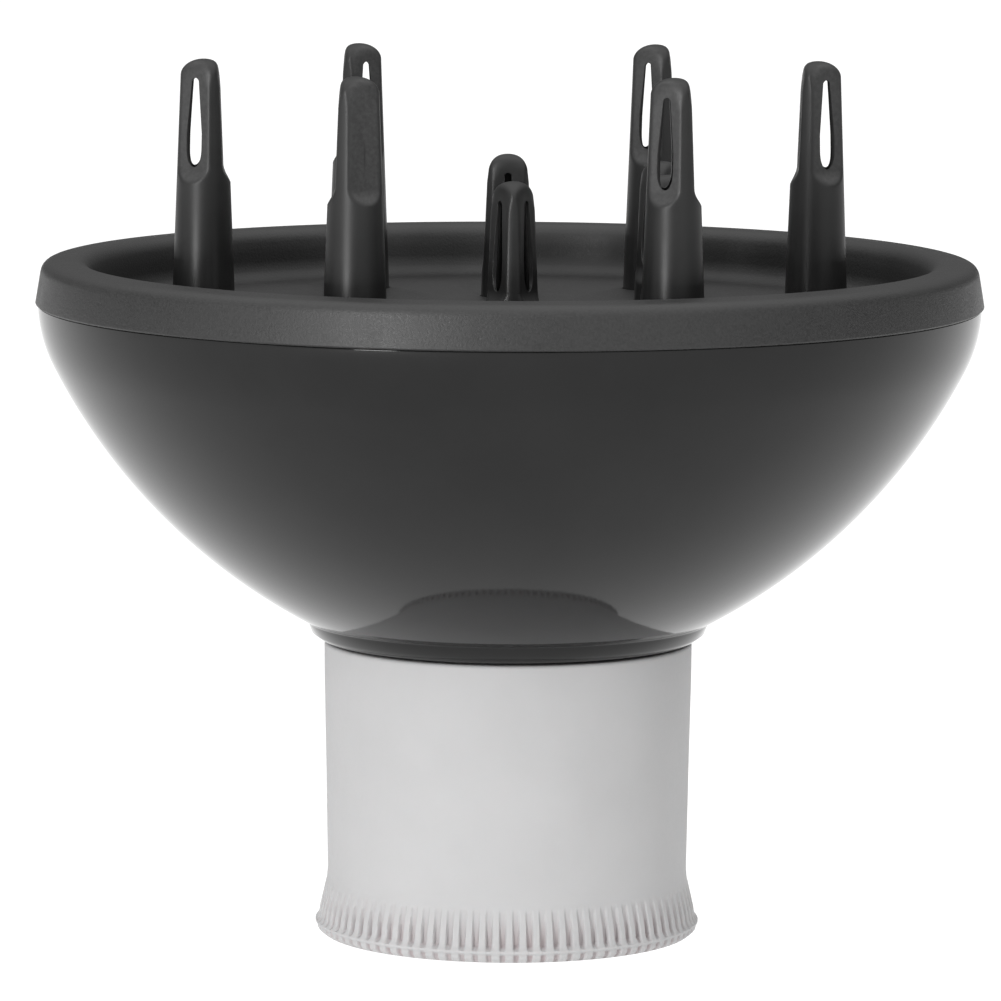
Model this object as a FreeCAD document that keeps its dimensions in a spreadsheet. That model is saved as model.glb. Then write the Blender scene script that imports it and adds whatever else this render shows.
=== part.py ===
"""Hair dryer diffuser: a wide bowl with hollow air fingers and a soft sleeve that grips the dryer's nozzle.

The row frame has its origin on the axis, level with the sleeve's foot. +Z runs up the axis to the finger
tips. Millimetres. Driving sizes are in SIZES, which fills the document's sheet; every sketch and solid is
bound to it.
"""
import FreeCAD, Part
import math
import os
import Sketcher

SIZES = {
    # sleeve that grips the dryer
    "sleeve_top": (49.9, "height of the sleeve's upper edge"),
    "sleeve_radius": (31.2, "outside of the sleeve at its upper edge"),
    "waist_height": (9.8, "where the sleeve starts to flare"),
    "waist_radius": (30.5, "outside of the sleeve at the waist"),
    "lip_height": (1.9, "height of the sleeve's widest ring"),
    "lip_radius": (32.6, "outside of the widest ring"),
    "lip_slope": (0.7, "height of the slope under the widest ring"),
    "lip_land": (0.1, "height of the widest ring above its middle"),
    "lip_step": (1.0, "step from the widest ring to the flare"),
    "flare_curve": (26.0, "radius of the flare"),
    "foot_radius": (31.8, "outside of the sleeve where it stands"),
    "socket_radius": (27.5, "bore that takes the dryer's nozzle"),
    "socket_top": (37.6, "upper end of that bore"),
    "socket_lead": (1.0, "bevel at the mouth of the bore"),
    "seat_radius": (28.4, "sleeve's bore around the swivel ring"),
    "seat_floor": (39.5, "ledge under the swivel ring"),
    "relief_radius": (27.95, "sleeve's bore around the snap bead"),
    "sleeve_round": (0.6, "rounding of the sleeve's upper edge"),
    # swivel ring between bowl and sleeve
    "ring_bore": (27.05, "inside of the swivel ring"),
    "ring_radius": (28.35, "outside of the swivel ring"),
    "ring_bottom": (39.85, "lower face of the swivel ring"),
    "ring_top": (50.3, "upper face of the swivel ring"),
    "ring_bevel": (0.4, "bevel that leads the ring over the bead"),
    # bowl
    "spigot_radius": (27.0, "outside of the bowl's neck"),
    "spigot_bore": (25.2, "inside of the bowl's neck"),
    "spigot_bottom": (38.0, "lower end of the neck"),
    "bead_height": (0.75, "snap bead that keeps the ring on the neck"),
    "bead_slope": (0.7, "length of the bead's lead-in"),
    "bead_land": (0.5, "length of the bead's crest, and of its upper slope"),
    "shoulder_height": (50.5, "flat underside above the ring"),
    "shoulder_radius": (31.9, "outer edge of that underside"),
    "knee_height": (53.4, "lower edge of the bowl's curved side"),
    "knee_radius": (34.1, "radius of that edge"),
    "knee_round": (0.5, "rounding of that edge"),
    "bowl_wall": (2.0, "thickness of the bowl"),
    "belly_curve": (101.0, "radius of the bowl's long curve"),
    "bend_height": (97.0, "where the side turns up to the rim"),
    "bend_radius": (77.0, "radius of the bowl there"),
    "edge_curve": (24.4, "radius of the short curve under the rim"),
    "edge_height": (106.6, "upper edge of the bowl"),
    "edge_radius": (79.6, "outside of the bowl at that edge"),
    "rebate_radius": (77.5, "recess inside the bowl's edge"),
    "rebate_floor": (102.6, "lower end of that recess"),
    "catch_start": (1.0, "foot of the snap catch above the recess's floor"),
    "catch_slope": (0.35, "length of the catch's slopes"),
    "catch_crest": (0.3, "length of the catch's crest on the skirt"),
    "catch_depth": (0.3, "how far the catch stands out of the skirt"),
    "catch_play": (0.05, "how much deeper its groove in the bowl is"),
    # finger plate with its rolled rim
    "rim_radius": (80.0, "widest corner of the rim"),
    "rim_corner": (107.7, "height of that corner"),
    "rim_crest": (114.8, "top of the rim"),
    "rim_gap": (0.15, "parting line between rim and bowl"),
    "rim_width": (10.25, "from the widest corner to the rim's inner wall"),
    "rim_rise": (3.6, "height of the curve from the plate to that wall"),
    "rim_curve": (3.7, "radius of that curve"),
    "rim_lean": (0.95, "how far the inner wall leans out to the crest"),
    "rim_taper": (1.2, "how far the outer face leans in to the crest"),
    "rim_fall": (0.3, "fall of the crest towards the outside"),
    "rim_undercut": (0.35, "how far the outer face steps in to the parting line"),
    "skirt_gap": (0.1, "gap between skirt and recess"),
    "skirt_wall": (1.8, "thickness of the skirt"),
    "plate_top": (105.7, "upper face of the plate"),
    "plate_skin": (2.0, "thickness of plate and rim"),
    "plate_radius": (66.3, "where the plate starts to curve up"),
    "crest_round": (1.4, "rounding of the crest's inner edge"),
    "rim_round": (2.2, "rounding of the rim's outer edge"),
    # fingers
    "tall_ring": (51.7, "circle of the tall fingers"),
    "tall_tip": (148.4, "height of the tall tips"),
    "tall_radius": (3.77, "tall finger's radius at its tip"),
    "tall_foot": (7.2, "tall finger's foot under the plate"),
    "short_ring": (30.0, "circle of the short fingers"),
    "short_tip": (130.3, "height of the short tips"),
    "short_radius": (3.64, "short finger's radius at its tip"),
    "short_foot": (6.6, "short finger's foot under the plate"),
    "finger_draft": (0.0375, "widening of a finger per millimetre of height"),
    "foot_height": (6.0, "space for the feet under the plate"),
    "finger_skin": (1.55, "wall of a finger at its ridges"),
    "flat_depth": (1.1, "how deep the three flats are cut"),
    "flat_length": (20.6, "length of the flats from the tip"),
    "flat_ramp": (2.1, "run-out at the lower end of a flat"),
    "tip_round": (2.5, "rounding of a finger's tip"),
    "window_top": (3.3, "upper end of a window below the tip"),
    "window_end": (18.1, "lower end of a window below the tip"),
    "window_half": (1.25, "half of a window's width"),
    "window_taper": (8.0, "length of a window's narrowing upper part"),
    "window_tail": (3.4, "length of a window's rounded lower end"),
    "tail_curve": (4.6, "radius of that end"),
    "crown_rise": (0.9, "end of the bore above a window's upper end"),
    "crown_bevel": (0.6, "bevel of the bore's end"),
    # retainer, its screws and the air spreader
    "retainer_radius": (61.0, "outside of the retainer"),
    "retainer_skin": (2.0, "thickness of the retainer"),
    "tall_air": (3.9, "air hole under a tall finger"),
    "short_air": (3.3, "air hole under a short finger"),
    "boss_ring": (46.0, "circle of the retainer's screws"),
    "boss_radius": (3.0, "screw boss"),
    "pilot_radius": (1.05, "hole in a boss"),
    "screw_clear": (1.45, "screw hole through the retainer"),
    "shank_radius": (1.0, "screw shank"),
    "head_radius": (2.4, "screw head"),
    "head_height": (1.6, "screw head's height"),
    "screw_length": (7.0, "shank below the head"),
    "slot_width": (0.7, "width of the slot in a head"),
    "slot_depth": (0.5, "depth of that slot"),
    "post_ring": (14.0, "circle of the spreader's posts"),
    "post_radius": (3.0, "spreader's post"),
    "spreader_radius": (22.0, "outside of the spreader's dish"),
    "spreader_rim": (76.0, "height of the dish's edge"),
    "spreader_nose": (69.0, "height of the dish's lowest point"),
    "spreader_skin": (1.8, "thickness of the dish"),
    "spreader_flat": (6.0, "radius of the dish's middle"),
    "spreader_dip": (0.2, "rise of that middle to its edge"),
    "spreader_curve": (60.0, "radius of the dish's curve"),
    # clearances
    "ease": (0.05, "gap between pieces that are clamped together"),
    "slip": (0.2, "gap around a finger in its hole"),
    "bite": (0.1, "how far solids that become one reach into each other"),
}
FINGERS_PER_RING = 6
POSTS = 3
FLATS = 3
HALF_STEP = 180.0 / FINGERS_PER_RING    # turn from a tall finger to the short finger beside it
SHUT_WINDOW = ("tall", 5)               # finger that is moulded shut in one of its flats

doc = FreeCAD.newDocument("Diffuser")


class Size:
    """A length that knows both its value and its formula in the sheet."""

    def __init__(self, value, formula):
        self.value = float(value)
        self.formula = formula

    @staticmethod
    def of(thing):
        return thing if isinstance(thing, Size) else Size(thing, f"{float(thing):g}")

    def __add__(self, other):
        other = Size.of(other)
        return Size(self.value + other.value, f"({self.formula} + {other.formula})")

    def __sub__(self, other):
        other = Size.of(other)
        return Size(self.value - other.value, f"({self.formula} - {other.formula})")

    def __mul__(self, other):
        other = Size.of(other)
        return Size(self.value * other.value, f"({self.formula} * {other.formula})")

    def __neg__(self):
        return Size(-self.value, f"(-1 * {self.formula})")


def size(alias):
    """The named size, from SIZES and from the sheet at once."""
    return Size(SIZES[alias][0], f"Sizes.{alias}")


def make_sheet():
    """Put every driving size in a sheet: name, value, meaning."""
    sheet = doc.addObject("Spreadsheet::Sheet", "Sizes")
    for row, (alias, (value, meaning)) in enumerate(SIZES.items(), start=1):
        sheet.set(f"A{row}", alias)
        sheet.set(f"B{row}", str(value))
        sheet.set(f"C{row}", meaning)
        sheet.setAlias(f"B{row}", alias)
    doc.recompute()


def origin_plane(body, role):
    """One of the body's own origin planes."""
    return next(plane for plane in body.Origin.OriginFeatures if plane.Role == role)


def new_sketch(body, name, role, height=None):
    """A sketch on an origin plane of the body, lifted along the plane's normal when a height is given."""
    sketch = body.newObject("Sketcher::SketchObject", name)
    sketch.AttachmentSupport = [(origin_plane(body, role), "")]
    sketch.MapMode = "FlatFace"
    if height is not None:
        sketch.setExpression("AttachmentOffset.Base.z", Size.of(height).formula)
    return sketch


def bind(sketch, kind, place, length):
    """Add a dimension to the sketch and bind it to the sheet."""
    index = sketch.addConstraint(Sketcher.Constraint(kind, *place, length.value))
    sketch.setExpression(f"Constraints[{index}]", length.formula)


def pin_point(sketch, edge, end, x, y):
    """Hold an edge's end at x, y. A zero puts it on the axis."""
    if x.value == 0:
        sketch.addConstraint(Sketcher.Constraint("PointOnObject", edge, end, -2))
    else:
        bind(sketch, "DistanceX", (-1, 1, edge, end), x)
    if y.value == 0:
        sketch.addConstraint(Sketcher.Constraint("PointOnObject", edge, end, -1))
    else:
        bind(sketch, "DistanceY", (-1, 1, edge, end), y)


def arc_between(start, end, radius, left):
    """The short arc of that radius from start to end, with its centre left or right of the way."""
    middle = (start + end) * 0.5
    way = end - start
    reach = math.sqrt(radius ** 2 - (way.Length / 2) ** 2)
    side = FreeCAD.Vector(-way.y, way.x, 0).normalize() * (reach if left else -reach)
    centre = middle + side
    first, last = (start, end) if left else (end, start)
    angles = [math.atan2(point.y - centre.y, point.x - centre.x) for point in (first, last)]
    return Part.ArcOfCircle(Part.Circle(centre, FreeCAD.Vector(0, 0, 1), radius), *angles)


def outline(sketch, corners):
    """Close an outline through the corners, each held at its place by the sheet.

    A corner is (x, y), reached by a straight edge, or (x, y, radius, "left" or "right"), reached by an arc
    whose centre lies on that side of the way.
    """
    corners = [tuple(Size.of(c) for c in corner[:2]) + tuple(corner[2:]) for corner in corners]
    points = [FreeCAD.Vector(corner[0].value, corner[1].value, 0) for corner in corners]
    ends = []
    for index, corner in enumerate(corners):
        start, end = points[index - 1], points[index]
        if len(corner) == 2:
            edge = sketch.addGeometry(Part.LineSegment(start, end), False)
            ends.append((edge, 1, 2))
            continue
        left = corner[3] == "left"
        radius = Size.of(corner[2])
        edge = sketch.addGeometry(arc_between(start, end, radius.value, left), False)
        ends.append((edge, 1, 2) if left else (edge, 2, 1))
        bind(sketch, "Radius", (edge,), radius)
    for index, (edge, first, last) in enumerate(ends):
        following = ends[(index + 1) % len(ends)]
        sketch.addConstraint(Sketcher.Constraint("Coincident", edge, last, following[0], following[1]))
        pin_point(sketch, edge, last, *corners[index][:2])


def circle(sketch, x, y, radius):
    """A circle whose centre and radius are bound to the sheet."""
    x, y, radius = Size.of(x), Size.of(y), Size.of(radius)
    centre = FreeCAD.Vector(x.value, y.value, 0)
    edge = sketch.addGeometry(Part.Circle(centre, FreeCAD.Vector(0, 0, 1), radius.value), False)
    pin_point(sketch, edge, 3, x, y)
    bind(sketch, "Radius", (edge,), radius)


def new_body(label):
    body = doc.addObject("PartDesign::Body", label)
    body.Label = label
    return body


def revolve(body, corners):
    """Turn an outline, drawn as radius and height, about the body's vertical axis."""
    sketch = new_sketch(body, "Profile", "XZ_Plane")
    outline(sketch, corners)
    turned = body.newObject("PartDesign::Revolution", "Turned")
    turned.Profile = sketch
    turned.ReferenceAxis = (sketch, ["V_Axis"])
    turned.Angle = 360
    doc.recompute()
    return turned


def pad(body, sketch, length):
    """Grow a sketch along its plane's normal."""
    feature = body.newObject("PartDesign::Pad", "Pad")
    feature.Profile = sketch
    feature.setExpression("Length", Size.of(length).formula)
    doc.recompute()
    return feature


def cut(body, sketch, kind="ThroughAll", midplane=False, reverse=False, length=None):
    """Cut a sketch out of the body, and make sure that something went."""
    before = body.Shape.Volume
    feature = body.newObject("PartDesign::Pocket", "Cut")
    feature.Profile = sketch
    feature.Type = kind
    if length is not None:
        feature.setExpression("Length", Size.of(length).formula)
    feature.Midplane = midplane
    feature.Reversed = reverse
    doc.recompute()
    if body.Shape.Volume > before - 0.01:
        raise RuntimeError(f"{body.Label}: {sketch.Name} cuts nothing")
    return feature


def repeat_round(body, features, count, angle=360.0):
    """Repeat features about the body's vertical axis, over a full turn or as far as the given angle."""
    pattern = body.newObject("PartDesign::PolarPattern", "Round")
    pattern.Originals = features
    pattern.Axis = (next(axis for axis in body.Origin.OriginFeatures if axis.Role == "Z_Axis"), [""])
    pattern.Angle = angle
    pattern.Occurrences = count
    body.Tip = pattern
    doc.recompute()


def round_edges(body, radius, *places):
    """Round the circular edges of the body whose radius and height are given."""
    names = []
    solid = body.Tip
    for index, edge in enumerate(solid.Shape.Edges, start=1):
        curve = edge.Curve
        if not isinstance(curve, Part.Circle):
            continue
        for ring, height in places:
            near = abs(curve.Radius - ring.value) < 0.02 and abs(curve.Center.z - height.value) < 0.02
            if near and math.hypot(curve.Center.x, curve.Center.y) < 0.02:
                names.append(f"Edge{index}")
    if len(names) < len(places):
        raise RuntimeError(f"{body.Label}: an edge to round is missing")
    feature = body.newObject("PartDesign::Fillet", "Rounding")
    feature.Base = (solid, names)
    feature.setExpression("Radius", radius.formula)
    doc.recompute()


def around(count, ring, turn=0.0):
    """Angles in degrees, and places, evenly spaced on a ring."""
    for step in range(count):
        angle = turn + 360.0 * step / count
        x = Size(ring.value * math.cos(math.radians(angle)), f"({ring.formula} * cos({angle:g}))")
        y = Size(ring.value * math.sin(math.radians(angle)), f"({ring.formula} * sin({angle:g}))")
        yield angle, x, y


def catch(radius, level, depth, crest):
    """Corners of a snap catch from its upper to its lower end: the bead on the skirt, or its groove."""
    slope = size("catch_slope")
    return [
        (radius, level + slope + crest + slope),
        (radius + depth, level + slope + crest),
        (radius + depth, level + slope),
        (radius, level),
    ]


def bowl_shell():
    """The bowl: knee, long curve, short curve up to the edge, and the neck with its snap bead."""
    body = new_body("bowl_shell")
    wall = size("bowl_wall")
    spigot, bore = size("spigot_radius"), size("spigot_bore")
    bottom, shoulder = size("spigot_bottom"), size("shoulder_height")
    bead, slope, land = spigot + size("bead_height"), size("bead_slope"), size("bead_land")
    edge, floor = size("edge_height"), size("rebate_floor")
    rebate, knee = size("rebate_radius"), size("knee_radius")
    groove_depth = size("catch_depth") + size("catch_play")
    revolve(body, [
        (bore, bottom),
        (spigot, bottom),
        (bead, bottom + slope),
        (bead, bottom + slope + land),
        (spigot, bottom + slope + land + land),
        (spigot, shoulder),
        (size("shoulder_radius"), shoulder),
        (knee, size("knee_height")),
        (size("bend_radius"), size("bend_height"), size("belly_curve"), "left"),
        (size("edge_radius"), edge, size("edge_curve"), "left"),
        (rebate, edge),
        *catch(rebate, floor + size("catch_start"), groove_depth, size("catch_crest") * 2),
        (rebate, floor),
        (rebate - wall * 0.5, floor),
        (size("bend_radius") - wall * 0.9, size("bend_height") + wall * 0.45),
        (knee - wall * 1.2, size("knee_height") + wall * 0.5, size("belly_curve") - wall, "right"),
        (bore, shoulder + wall * 0.75),
    ])
    round_edges(body, size("knee_round"), (knee, size("knee_height")))
    return body


def finger_plate():
    """The plate that carries the fingers, with the rolled rim and the skirt inside the bowl."""
    body = new_body("finger_plate")
    top, skin = size("plate_top"), size("plate_skin")
    under = top - skin
    rim, corner, crest = size("rim_radius"), size("rim_corner"), size("rim_crest")
    land = size("edge_height") + size("rim_gap")
    skirt, wall = size("rebate_radius") - size("skirt_gap"), size("skirt_wall")
    foot = size("rebate_floor") + size("rim_gap")
    inner, rise, fall = rim - size("rim_width"), size("rim_rise"), size("rim_fall")
    crest_inside = inner + size("rim_lean")
    crest_outside = rim - size("rim_taper")
    revolve(body, [
        (0, under),
        (0, top),
        (size("plate_radius"), top),
        (inner, top + rise, size("rim_curve"), "left"),
        (crest_inside, crest),
        (crest_outside, crest - fall),
        (rim, corner),
        (rim - size("rim_undercut"), land),
        (skirt, land),
        *catch(skirt, foot + size("catch_start"), size("catch_depth"), size("catch_crest")),
        (skirt, foot),
        (skirt - wall, foot),
        (skirt - wall, land + skin * 0.25),
        (rim - skin * 1.3, land + skin),
        (rim - skin * 1.5, crest - skin - fall),
        (inner + skin * 1.5, crest - skin),
        (inner + skin, top + rise - fall),
        (size("plate_radius"), under, size("rim_curve") + skin, "right"),
    ])
    round_edges(body, size("crest_round"), (crest_inside, crest))
    round_edges(body, size("rim_round"), (crest_outside, crest - fall))
    bosses = new_sketch(body, "Boss", "XY_Plane", under - size("foot_height"))
    _, x, y = next(around(FINGERS_PER_RING, size("boss_ring"), HALF_STEP))
    circle(bosses, x, y, size("boss_radius"))
    boss = pad(body, bosses, size("foot_height") + skin * 0.25)
    pilots = new_sketch(body, "Pilot", "XY_Plane", under - size("foot_height"))
    circle(pilots, x, y, size("pilot_radius"))
    pilot = cut(body, pilots, "Length", reverse=True, length=size("foot_height") + skin * 0.2)
    tall = new_sketch(body, "TallHole", "XY_Plane")
    circle(tall, size("tall_ring"), 0, finger_radius("tall", under) + size("slip"))
    tall_hole = cut(body, tall, midplane=True)
    _, x, y = next(around(FINGERS_PER_RING, size("short_ring"), HALF_STEP))
    short = new_sketch(body, "ShortHole", "XY_Plane")
    circle(short, x, y, finger_radius("short", under) + size("slip"))
    short_hole = cut(body, short, midplane=True)
    repeat_round(body, [boss, pilot, tall_hole, short_hole], FINGERS_PER_RING)
    return body


def finger_radius(kind, height):
    """Outside radius of a finger at a height of the row frame."""
    return size(f"{kind}_radius") + size("finger_draft") * (size(f"{kind}_tip") - height)


def finger(kind, number, x, y, angle):
    """One hollow finger, with a foot that the retainer clamps, three flats and a window in each flat.

    It is drawn about its own axis with a ridge towards +X, and stands with that ridge facing outwards. The
    finger with the shut window has only the first two windows, counted from the one that faces the middle.
    """
    body = new_body(f"{kind}_finger_{number}")
    under = size("plate_top") - size("plate_skin")
    base = under - size("foot_height")
    height = size(f"{kind}_tip") - base
    tip, foot = size(f"{kind}_radius"), size(f"{kind}_foot")
    draft, skin = size("finger_draft"), size("finger_skin")
    neck = tip + draft * (height - size("foot_height"))
    foot_top = size("foot_height") - size("ease")
    window_level, bevel = height - size("window_top"), size("crown_bevel")
    bore_top = window_level + size("crown_rise")
    revolve(body, [
        (tip + draft * height - skin, 0),
        (foot, 0),
        (foot, foot_top),
        (neck, foot_top),
        (tip, height),
        (0, height),
        (0, bore_top),
        (tip - skin - bevel, bore_top - bevel * 0.5),
        (tip - skin + draft * size("window_top"), window_level - bevel),
    ])
    round_edges(body, size("tip_round"), (tip, height))
    flat = new_sketch(body, "Flat", "XZ_Plane")
    depth, end, ramp = size("flat_depth"), size("flat_length"), size("flat_ramp")
    clear = foot + depth
    outline(flat, [
        (-(tip - depth), height + depth),
        (-clear, height + depth),
        (-clear, height - end),
        (-(tip + draft * end), height - end),
        (-(tip + draft * end - depth), height - end + ramp),
    ])
    repeat_round(body, [cut(body, flat, midplane=True)], FLATS)
    window = new_sketch(body, "Window", "YZ_Plane")
    half, taper, curve = size("window_half"), size("window_taper"), size("tail_curve")
    low = height - size("window_end")
    tail = low + size("window_tail")
    outline(window, [
        (half * 0.35, window_level),
        (-half * 0.35, window_level),
        (-half, window_level - taper),
        (-half, tail),
        (-half * 0.3, low, curve, "left"),
        (half * 0.3, low),
        (half, tail, curve, "left"),
        (half, window_level - taper),
    ])
    windows = FLATS - 1 if (kind, number) == SHUT_WINDOW else FLATS
    repeat_round(body, [cut(body, window)], windows, 360.0 if windows == FLATS else 360.0 / FLATS)
    body.Placement.Rotation = FreeCAD.Rotation(FreeCAD.Vector(0, 0, 1), angle)
    body.setExpression("Placement.Base.x", x.formula)
    body.setExpression("Placement.Base.y", y.formula)
    body.setExpression("Placement.Base.z", base.formula)
    doc.recompute()
    return body


def retainer_levels():
    """Lower and upper face of the retainer."""
    upper = size("plate_top") - size("plate_skin") - size("foot_height") - size("ease")
    return upper - size("retainer_skin"), upper


def finger_retainer():
    """The disc that clamps the fingers' feet against the plate, open under every finger."""
    body = new_body("finger_retainer")
    lower, upper = retainer_levels()
    disc = new_sketch(body, "Disc", "XY_Plane", lower)
    circle(disc, 0, 0, size("retainer_radius"))
    pad(body, disc, size("retainer_skin"))
    holes = []
    rings = [
        ("TallAir", "tall_ring", 0, "tall_air"),
        ("ShortAir", "short_ring", HALF_STEP, "short_air"),
        ("Screw", "boss_ring", HALF_STEP, "screw_clear"),
    ]
    for name, ring, turn, radius in rings:
        _, x, y = next(around(FINGERS_PER_RING, size(ring), turn))
        hole = new_sketch(body, name, "XY_Plane")
        circle(hole, x, y, size(radius))
        holes.append(cut(body, hole, midplane=True))
    repeat_round(body, holes, FINGERS_PER_RING)
    post = new_sketch(body, "PostScrew", "XY_Plane")
    circle(post, size("post_ring"), 0, size("screw_clear"))
    repeat_round(body, [cut(body, post, midplane=True)], POSTS)
    return body


def air_spreader():
    """A shallow dish under the retainer that turns the dryer's jet outwards, on three posts."""
    body = new_body("air_spreader")
    lower, _ = retainer_levels()
    rim, nose, skin = size("spreader_rim"), size("spreader_nose"), size("spreader_skin")
    flat, dip, curve = size("spreader_flat"), size("spreader_dip"), size("spreader_curve")
    root = rim - skin * 2
    revolve(body, [
        (0, nose),
        (flat, nose + dip),
        (size("spreader_radius"), rim - skin, curve, "left"),
        (size("spreader_radius"), rim),
        (flat, nose + skin + dip, curve, "right"),
        (0, nose + skin),
    ])
    posts = new_sketch(body, "Post", "XY_Plane", root)
    circle(posts, size("post_ring"), 0, size("post_radius"))
    post = pad(body, posts, lower - size("ease") - root)
    pilots = new_sketch(body, "Pilot", "XY_Plane", lower - size("ease"))
    circle(pilots, size("post_ring"), 0, size("pilot_radius"))
    pilot = cut(body, pilots, "Length", length=size("screw_length"))
    repeat_round(body, [post, pilot], POSTS)
    return body


def cylinder(name, radius, length, x, y, z):
    """A cylinder bound to the sheet, standing on z."""
    solid = doc.addObject("Part::Cylinder", name)
    for prop, value in [("Radius", radius), ("Height", length), ("Placement.Base.x", x),
                        ("Placement.Base.y", y), ("Placement.Base.z", z)]:
        solid.setExpression(prop, Size.of(value).formula)
    return solid


def screw(name, x, y, seat, up):
    """A pan-head screw whose head rests on seat. Its shank points up or down from there."""
    head, shank, bite = size("head_height"), size("screw_length"), size("bite")
    slot_width, slot_depth = size("slot_width"), size("slot_depth")
    head_z = seat - head if up else seat
    shank_z = seat - bite if up else seat - shank + bite
    slot_z = seat - head - bite if up else seat + head - slot_depth
    cap = cylinder(f"{name}_head", size("head_radius"), head, x, y, head_z)
    rod = cylinder(f"{name}_shank", size("shank_radius"), shank, x, y, shank_z)
    whole = doc.addObject("Part::Fuse", f"{name}_whole")
    whole.Base, whole.Tool = cap, rod
    slot = doc.addObject("Part::Box", f"{name}_slot")
    for prop, value in [("Length", size("head_radius") * 1.3), ("Width", slot_width),
                        ("Height", slot_depth + bite), ("Placement.Base.x", x - size("head_radius") * 0.65),
                        ("Placement.Base.y", y - slot_width * 0.5), ("Placement.Base.z", slot_z)]:
        slot.setExpression(prop, Size.of(value).formula)
    cutter = doc.addObject("Part::Cut", name)
    cutter.Base, cutter.Tool = whole, slot
    return cutter


def screw_group(label, count, ring, turn, seat, up):
    """Identical screws on a ring, kept as one group of separate solids."""
    screws = [screw(f"{label}_{number}", x, y, seat, up)
              for number, (_, x, y) in enumerate(around(count, size(ring), turn), start=1)]
    group = doc.addObject("Part::Compound", label)
    group.Label = label
    group.Links = screws
    return group


def swivel_ring():
    """The hard ring that turns on the bowl's neck and carries the sleeve."""
    body = new_body("swivel_ring")
    bore, outside = size("ring_bore"), size("ring_radius")
    bottom, top, bevel = size("ring_bottom"), size("ring_top"), size("ring_bevel")
    revolve(body, [
        (bore, bottom + bevel),
        (bore + bevel, bottom),
        (outside, bottom),
        (outside, top),
        (bore, top),
    ])
    return body


def dryer_sleeve():
    """The soft sleeve: straight-sided, with a flared lip at the foot and a bore for the dryer's nozzle."""
    body = new_body("dryer_sleeve")
    socket, lead = size("socket_radius"), size("socket_lead")
    top, waist = size("sleeve_top"), size("waist_height")
    lip, lip_height, step = size("lip_radius"), size("lip_height"), size("lip_step")
    revolve(body, [
        (socket, lead),
        (socket + lead, 0),
        (size("foot_radius"), 0),
        (lip, lip_height - size("lip_slope")),
        (lip, lip_height + size("lip_land")),
        (lip - step, lip_height + step),
        (size("waist_radius"), waist, size("flare_curve"), "right"),
        (size("sleeve_radius"), top),
        (size("seat_radius"), top),
        (size("seat_radius"), size("seat_floor")),
        (size("relief_radius"), size("seat_floor")),
        (size("relief_radius"), size("socket_top")),
        (socket, size("socket_top")),
    ])
    round_edges(body, size("sleeve_round"), (size("sleeve_radius"), top))
    return body


def check_document(subparts):
    """Stop if any object failed, or if a sub-part is empty or not valid."""
    for thing in doc.Objects:
        if "Invalid" in thing.State or "Error" in thing.State:
            raise RuntimeError(f"{thing.Label} failed: {thing.State}")
    for thing in subparts:
        if thing.Shape.isNull() or not thing.Shape.isValid() or not thing.Shape.Solids:
            raise RuntimeError(f"{thing.Label} has no valid shape")


def build():
    make_sheet()
    lower, upper = retainer_levels()
    subparts = [bowl_shell(), finger_plate()]
    for kind, turn in [("tall", 0), ("short", HALF_STEP)]:
        places = around(FINGERS_PER_RING, size(f"{kind}_ring"), turn)
        for number, (angle, x, y) in enumerate(places, start=1):
            subparts.append(finger(kind, number, x, y, angle))
    subparts.append(finger_retainer())
    subparts.append(
        screw_group("retainer_screws", FINGERS_PER_RING, "boss_ring", HALF_STEP, lower, up=True))
    subparts.append(air_spreader())
    subparts.append(screw_group("spreader_screws", POSTS, "post_ring", 0, upper, up=False))
    subparts.append(swivel_ring())
    subparts.append(dryer_sleeve())
    doc.recompute()
    check_document(subparts)
    os.makedirs("parts", exist_ok=True)
    for thing in subparts:
        thing.Shape.exportStep(f"parts/{thing.Label}.step")
        box = thing.Shape.BoundBox
        print(f"{thing.Label:18s} solids {len(thing.Shape.Solids)}  volume {thing.Shape.Volume:9.1f}  "
              f"z {box.ZMin:7.2f} to {box.ZMax:7.2f}  x {box.XMin:7.2f} to {box.XMax:7.2f}")


build()
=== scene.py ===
"""Looks of the dryer diffuser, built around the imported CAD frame.

The bowl, the plate with its rolled rim, the twelve fingers and the sleeve are modelled again here with
soft edges; the pieces inside keep their CAD shapes. The origin is on the axis at the sleeve's foot, and +Z
is up. The scene is in metres, and sizes below are in millimetres unless a comment says otherwise.
"""
import math
import bmesh
import bpy
import numpy as np
from mathutils import Matrix, Vector


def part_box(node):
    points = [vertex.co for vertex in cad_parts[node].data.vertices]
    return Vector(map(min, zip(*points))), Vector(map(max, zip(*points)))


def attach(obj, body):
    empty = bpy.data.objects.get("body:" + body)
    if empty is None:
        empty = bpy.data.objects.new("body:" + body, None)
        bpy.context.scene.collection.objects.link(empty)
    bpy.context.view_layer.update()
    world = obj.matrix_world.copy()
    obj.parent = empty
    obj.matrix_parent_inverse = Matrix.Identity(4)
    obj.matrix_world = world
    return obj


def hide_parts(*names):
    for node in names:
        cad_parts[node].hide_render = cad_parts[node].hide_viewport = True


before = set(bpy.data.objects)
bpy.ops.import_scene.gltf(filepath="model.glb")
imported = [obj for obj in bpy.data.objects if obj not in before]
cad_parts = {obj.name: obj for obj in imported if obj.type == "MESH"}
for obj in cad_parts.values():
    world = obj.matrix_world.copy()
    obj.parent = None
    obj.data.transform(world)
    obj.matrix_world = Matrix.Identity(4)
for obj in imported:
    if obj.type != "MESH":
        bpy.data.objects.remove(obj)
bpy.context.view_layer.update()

MM = 0.001


def extent(node):
    """Lowest and highest corner of a CAD node, in millimetres."""
    low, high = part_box(node)
    return low / MM, high / MM


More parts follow.
